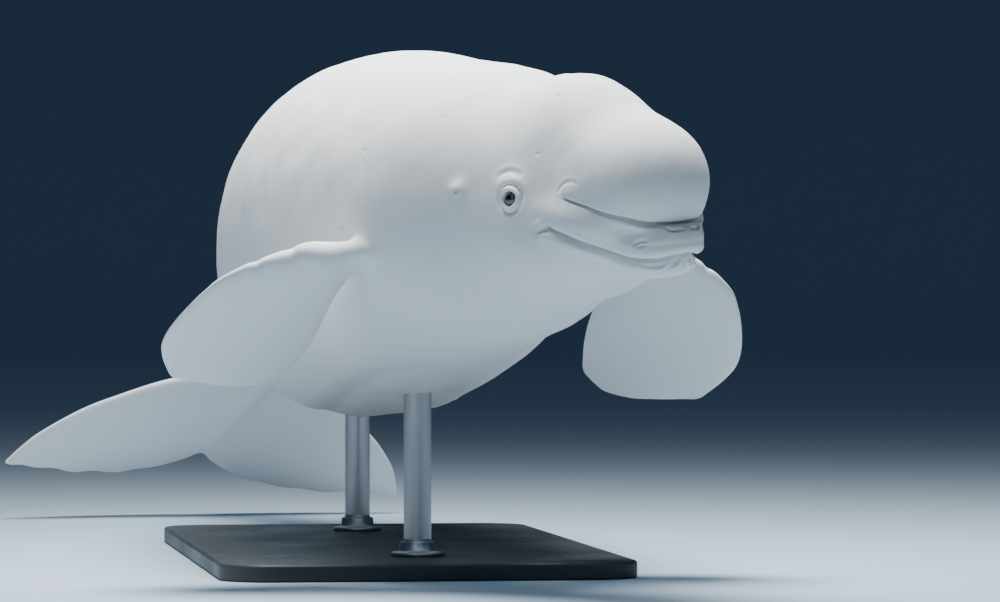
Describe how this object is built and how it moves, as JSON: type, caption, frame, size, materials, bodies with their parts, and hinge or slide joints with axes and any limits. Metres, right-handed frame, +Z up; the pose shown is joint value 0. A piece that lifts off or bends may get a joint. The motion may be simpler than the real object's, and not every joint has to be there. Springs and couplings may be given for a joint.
{
  "type": "beluga whale model",
  "caption": "Life-size still model of an adult beluga whale, swimming with its head turned and tail bent down, held by rods on a flat display base.",
  "frame": {"origin": "middle of the stand base's underside, on the floor", "axes": "+Z up, the nose to -Y and the tail to +Y, the animal's left to +X"},
  "size_m": [1.1613, 3.3396, 0.9123],
  "materials": {
    "skin": "smooth wet white skin",
    "eye": "wet and dark",
    "stand_paint": "satin dark grey",
    "stand_rod_steel": "brushed"
  },
  "bodies": {
    "root": {"head": "skin", "lower_jaw": "skin", "neck": "skin", "chest": "skin", "belly": "skin", "tail_stock": "skin", "fluke_left": "skin", "fluke_right": "skin", "fin_left": "skin", "fin_right": "skin", "eye_left": "eye", "eye_right": "eye", "stand_base": "stand_paint", "stand_rod_front": "stand_rod_steel", "stand_rod_rear": "stand_rod_steel"}
  },
  "joints": []
}
